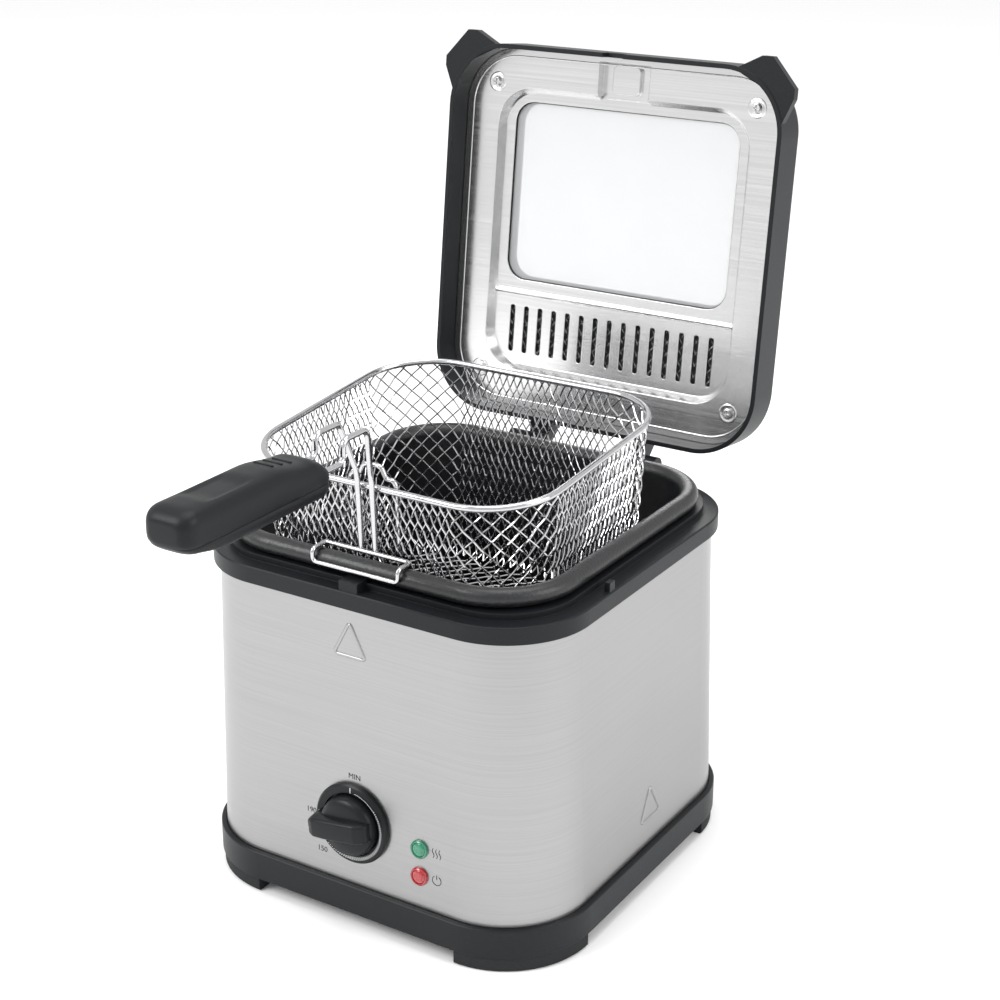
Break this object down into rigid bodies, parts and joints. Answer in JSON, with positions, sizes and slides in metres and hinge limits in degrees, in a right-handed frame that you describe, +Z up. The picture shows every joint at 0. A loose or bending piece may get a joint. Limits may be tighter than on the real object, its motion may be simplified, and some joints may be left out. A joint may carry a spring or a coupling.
{
  "type": "deep fryer",
  "caption": "Compact electric deep fryer with a steel body, hinged lid with window, lift-out wire basket with detachable handle, and a temperature dial.",
  "frame": {"origin": "on the table under the middle of the body", "axes": "+Z up, the front with the knob faces -Y, +X is the right side seen from the front"},
  "size_m": [0.225, 0.4092, 0.419],
  "materials": {
    "steel_body": "horizontal brushed",
    "black_plastic": "fine moulded",
    "foot_rubber": "matt",
    "zinc_sheet": "galvanised",
    "screw_steel": "satin",
    "pot_coating": "non-stick, fine grain",
    "heater_sheath": "dull",
    "ceramic_cream": "matt",
    "copper": "bare copper",
    "wire_sleeve": "silicone sleeve",
    "dial_black": "moulded",
    "lamp_green": "translucent",
    "lamp_red": "translucent",
    "lamp_chrome": "polished",
    "lamp_white": "moulded",
    "lid_plastic": "fine moulded",
    "lid_steel": "bright satin",
    "window_glass": "clear",
    "seal_rubber": "matt",
    "filter_mesh": "woven",
    "wire_chrome": "plated wire",
    "grip_plastic": "fine moulded"
  },
  "bodies": {
    "body": {"outer_shell": "steel_body", "base": "black_plastic", "feet": "foot_rubber", "bottom_plate": "zinc_sheet", "base_screws": "screw_steel", "cable_gland": "black_plastic", "top_rim": "black_plastic", "inner_pot": "pot_coating", "heating_element": "heater_sheath", "heater_clamp": "zinc_sheet", "heat_shield": "zinc_sheet", "heater_nut": "screw_steel", "thermostat": "ceramic_cream", "thermostat_bulb": "copper", "thermal_fuse": "ceramic_cream", "terminal_block": "ceramic_cream", "wiring": "wire_sleeve", "tie_rods": "screw_steel", "tie_nuts": "screw_steel", "dial_bezel": "dial_black", "lamp_lens_green": "lamp_green", "lamp_lens_red": "lamp_red", "lamp_rings": "lamp_chrome", "lamp_housings": "lamp_white", "hinge_pins": "screw_steel"},
    "lid": {"lid_frame": "lid_plastic", "lid_inner_plate": "lid_steel", "lid_window": "window_glass", "window_seal": "seal_rubber", "lid_filter": "filter_mesh", "filter_cage": "black_plastic", "lid_screws": "screw_steel"},
    "knob": {"control_knob": "dial_black", "knob_shaft": "screw_steel"},
    "basket": {"basket_mesh": "wire_chrome", "basket_rim": "wire_chrome", "basket_bracket": "wire_chrome"},
    "handle": {"drain_hook": "wire_chrome", "handle_wires": "wire_chrome", "handle_upper": "grip_plastic", "handle_lower": "grip_plastic", "handle_screws": "screw_steel"}
  },
  "joints": [
    {"name": "lid_hinge", "type": "hinge", "parent": "body", "child": "lid", "pos_m": [0, 0.119, 0.1895], "axis": [1, 0, 0], "range_deg": [0, 96.8]},
    {"name": "basket_lift", "type": "slide", "parent": "body", "child": "basket", "axis": [0, 0, -1], "range_m": [0, 0.05401]},
    {"name": "handle_release", "type": "slide", "parent": "basket", "child": "handle", "axis": [0, -0.8944, 0.4472], "range_m": [0, 0.12076]},
    {"name": "knob_turn", "type": "hinge", "parent": "body", "child": "knob", "pos_m": [0, -0.11037, 0.0605], "axis": [0, -0.9996, 0.0285], "range_deg": [-21, 248]}
  ],
  "couplings": [
    {"joint": "basket_lift", "follows": "lid_hinge", "m_per_rad": 0.031963},
    {"joint": "handle_release", "follows": "lid_hinge", "m_per_rad": 0.07147}
  ]
}
